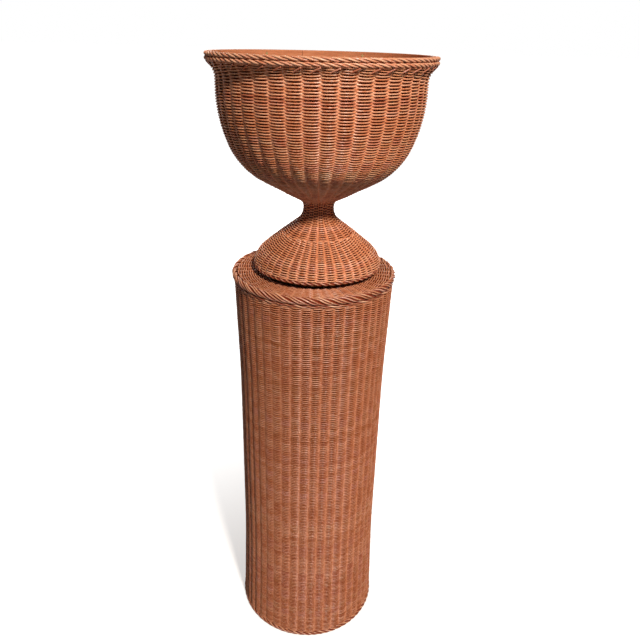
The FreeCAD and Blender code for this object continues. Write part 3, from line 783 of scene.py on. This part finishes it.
# Cords and borders, each twisted or plaited from strands
cordDefaults = {
    "axisX": 0.0,
    "hand": -1,               # which way the strands turn
    "samplesPerTurn": 14,
    "sides": 8,
    "pairing": 0.0,           # how far every second strand is drawn towards the one before
    "dip": 0.0,               # how far a strand dives under its neighbours, which also deepens its painted shade
    "rollDrift": 0.12,
    "toneDrift": 0.18,
    "thickDrift": 0.05,
    "closingSamples": 4,      # over these the end of a strand comes back to its start
    "tones": (0.30, 0.95),
    "sunk": 0.15,             # how deep the strands count as lying, which sets their painted shade
    "coreShare": 0.8,         # how far the core stays inside, in strand widths
    # the core's tone, hue and depth: at full depth its outer faces take the painted shade colour
    "coreLook": (0.2, 0.5, 1.0),
    "finish": "border_cane",
}
cords = {
    "rim_lower_rope": {
        "node": "rim_lower_cord", "body": "urn", "axisX": urnOffset, "circle": 0.198, "height": 1.2393,
        "halfSizes": (0.0035, 0.0035), "strands": 3, "turns": 31, "strandWide": 0.0034, "seed": 41,
        "finish": "rim_cane", "tones": (0.55, 1.0)},
    "rim_upper_rope": {
        "node": "rim_upper_cord", "body": "urn", "axisX": urnOffset, "circle": 0.198, "height": 1.2465,
        "halfSizes": (0.0035, 0.0035), "strands": 3, "turns": 28, "strandWide": 0.0034, "seed": 42,
        "finish": "rim_cane", "tones": (0.55, 1.0)},
    "foot_edge_rope": {
        "node": "foot_edge_cord", "body": "urn", "axisX": urnOffset, "circle": 0.122, "height": 0.8708,
        "halfSizes": (0.0027, 0.0027), "strands": 2, "turns": 30, "strandWide": 0.0028, "seed": 43},
    "well_edge_rope": {
        "node": "well_edge_cord", "body": "pedestal", "circle": 0.104, "height": 0.8534,
        "halfSizes": (0.0030, 0.0030), "strands": 3, "turns": 20, "strandWide": 0.0031, "seed": 44},
    "top_wale_rope": {
        "node": "top_wale", "body": "pedestal", "circle": 0.1547, "height": 0.8411,
        "halfSizes": (0.0045, 0.0026), "strands": 3, "turns": 16, "strandWide": 0.0030, "seed": 45,
        "tones": (0.1, 1.0)},
    "base_border_rope": {
        "node": "base_border", "body": "pedestal", "circle": 0.1545, "height": 0.0055,
        "halfSizes": (0.0050, 0.0050), "strands": 4, "turns": 16, "strandWide": 0.0042, "seed": 46},
    "top_border_plait": {
        "node": "top_border", "body": "pedestal", "circle": 0.1566, "height": 0.8517,
        "halfSizes": (0.0054, 0.0080), "strands": 6, "turns": 13, "strandWide": 0.0035, "seed": 47,
        "dip": 0.0010, "pairing": 0.20, "samplesPerTurn": 30, "tones": (0.1, 1.0)},
}


def buildCords():
    for name, given in cords.items():
        plan = {**cordDefaults, **given}
        bundle = newBundle()
        bendCord(bundle, plan, np.random.default_rng(plan["seed"]))
        bundleObject(bundle, name, materials[plan["finish"]], plan["body"], [plan["node"]])


buildCords()
print("object built")

# Camera, floor, backdrop and lamps

def placeAt(made, axes, place):
    # turns an object to the axes in the columns, puts it in its place and shows it
    matrix = Matrix.Identity(4)
    for i in range(3):
        for j in range(3):
            matrix[i][j] = float(axes[i, j])
        matrix[i][3] = place[i]
    made.matrix_world = matrix
    bpy.context.scene.collection.objects.link(made)


def eyeRays(tree):
    # what the camera sees, and what gloss and glass show
    rays = node(tree, "ShaderNodeLightPath").outputs
    shown = maths(tree, "MAXIMUM", rays["Is Glossy Ray"], rays["Is Transmission Ray"])
    return maths(tree, "MAXIMUM", rays["Is Camera Ray"], shown)


# The photograph's own viewpoint, looking down at the planter
camera = {"place": (0.0146, -1.150, 1.2775), "pitch": 0.4346, "roll": -0.0272, "lens": 34.49,
          "sensor": 36.0, "nearest": 0.02}


def buildCamera():
    p, roll = camera["pitch"], camera["roll"]
    right = np.array([1.0, 0.0, 0.0])
    up = np.array([0.0, math.sin(p), math.cos(p)])
    forward = np.array([0.0, math.cos(p), -math.sin(p)])
    tiltedRight = right * math.cos(roll) - up * math.sin(roll)
    tiltedUp = right * math.sin(roll) + up * math.cos(roll)
    data = bpy.data.cameras.new("camera")
    data.sensor_width = camera["sensor"]
    data.lens = camera["lens"]
    data.clip_start = camera["nearest"]
    made = bpy.data.objects.new("camera", data)
    placeAt(made, np.stack([tiltedRight, tiltedUp, -forward], 1), camera["place"])
    bpy.context.scene.camera = made


buildCamera()

# Pale floor that turns white away from the object, where the camera, gloss or glass sees it
room = {
    "size": 60.0,
    "floor": (0.16, 0.15, 0.14, 1),
    "seenFloor": (0.80, 0.78, 0.76, 1),
    "roughness": 0.9,
    "specular": 0.1,
    "footRadius": 0.15,       # the floor adds no white inside this, under the planter
    "nearRadius": 0.18,
    "nearWhite": 0.50,
    "farRadius": 0.75,
    "farWhite": 1.0,
    "worldLight": 0.055,
    "worldTint": (1.0, 0.88, 0.80, 1),
}


def buildFloor():
    mesh = bpy.data.meshes.new("floor")
    half = room["size"]
    corners = [(-half, -half, 0), (half, -half, 0), (half, half, 0), (-half, half, 0)]
    mesh.from_pydata(corners, [], [(0, 1, 2, 3)])
    floor = bpy.data.objects.new("floor", mesh)
    bpy.context.scene.collection.objects.link(floor)
    material = bpy.data.materials.new("paleFloor")
    material.use_nodes = True
    tree = material.node_tree
    shader = tree.nodes["Principled BSDF"]
    shader.inputs["Roughness"].default_value = room["roughness"]
    shader.inputs["Specular IOR Level"].default_value = room["specular"]
    eye = eyeRays(tree)
    tree.links.new(mixColour(tree, "MIX", eye, room["floor"], room["seenFloor"]), shader.inputs["Base Color"])
    place = node(tree, "ShaderNodeTexCoord").outputs["Object"]
    far = node(tree, "ShaderNodeVectorMath", operation="LENGTH")
    tree.links.new(place, far.inputs[0])
    white = ranged(tree, far.outputs["Value"], room["nearRadius"], room["farRadius"], room["nearWhite"],
                   room["farWhite"])
    outside = maths(tree, "GREATER_THAN", far.outputs["Value"], room["footRadius"])
    white = maths(tree, "MULTIPLY", white, outside)
    tree.links.new(maths(tree, "MULTIPLY", white, eye), shader.inputs["Emission Strength"])
    shader.inputs["Emission Color"].default_value = (1, 1, 1, 1)
    mesh.materials.append(material)


def buildWorld():
    world = bpy.data.worlds.new("world")
    bpy.context.scene.world = world
    world.use_nodes = True
    tree = world.node_tree
    lit = tree.nodes["Background"]
    lit.inputs["Color"].default_value = room["worldTint"]
    lit.inputs["Strength"].default_value = room["worldLight"]
    white = node(tree, "ShaderNodeBackground")
    white.inputs["Color"].default_value = (1, 1, 1, 1)
    mix = node(tree, "ShaderNodeMixShader")
    tree.links.new(eyeRays(tree), mix.inputs[0])
    tree.links.new(lit.outputs[0], mix.inputs[1])
    tree.links.new(white.outputs[0], mix.inputs[2])
    tree.links.new(mix.outputs[0], tree.nodes["World Output"].inputs["Surface"])


lamps = {
    "key": {"place": (1.42, -3.52, 4.25), "target": (0.0, 0.0, 0.8), "size": 0.6, "power": 300.0,
            "tint": (1.0, 0.95, 0.88)},
    "back": {"place": (-0.4, 4.3, 1.9), "target": (0.0, 0.0, 0.65), "size": 2.0, "power": 90.0,
             "tint": (1.0, 0.96, 0.92)},
}


def buildLamps():
    for name, plan in lamps.items():
        data = bpy.data.lights.new(name, "AREA")
        data.shape = "DISK"
        data.size = plan["size"]
        data.energy = plan["power"]
        data.color = plan["tint"]
        lamp = bpy.data.objects.new(name, data)
        place = np.array(plan["place"])
        back = unit(place - np.array(plan["target"]))
        side = unit(np.cross([0, 0, 1.0], back))
        placeAt(lamp, np.stack([side, np.cross(back, side), back], 1), plan["place"])


buildFloor()
buildWorld()
buildLamps()
bpy.context.scene.view_settings.view_transform = "Standard"
print("camera, floor and lamps placed")
